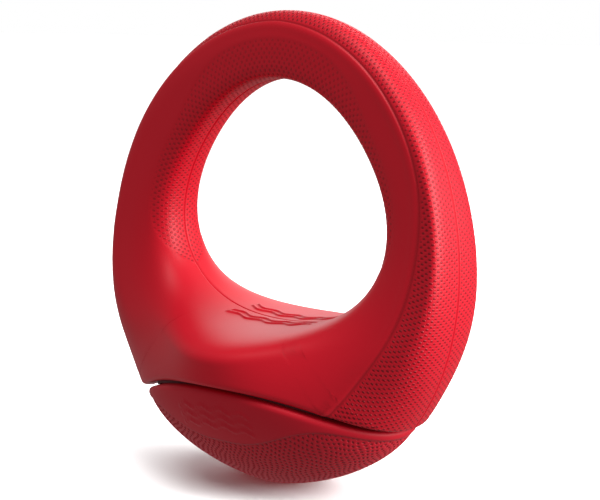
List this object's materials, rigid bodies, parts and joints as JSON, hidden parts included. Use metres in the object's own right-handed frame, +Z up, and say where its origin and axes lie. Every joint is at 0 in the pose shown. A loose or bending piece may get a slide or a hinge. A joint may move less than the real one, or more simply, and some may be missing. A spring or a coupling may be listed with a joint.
{
  "type": "self-righting ring toy",
  "caption": "Egg-shaped foam ring with a flared foot, made to be thrown and to float, on a weighted, pebbled rocker base.",
  "frame": {"origin": "middle of the flat under the base, at ground level", "axes": "+Z up along the ring's height, +X across the ring's width, -Y towards the front face"},
  "size_m": [0.125, 0.079, 0.1455],
  "materials": {
    "ring_foam": "satin",
    "base_rubber": "matte",
    "bond": "matte",
    "ballast_iron": "matte",
    "plug_rubber": "matte"
  },
  "bodies": {
    "root": {"ring_front_half": "ring_foam", "ring_back_half": "ring_foam", "bond_layer": "bond", "base_cup": "base_rubber", "ballast_weight": "ballast_iron", "ballast_plug": "plug_rubber"}
  },
  "joints": []
}
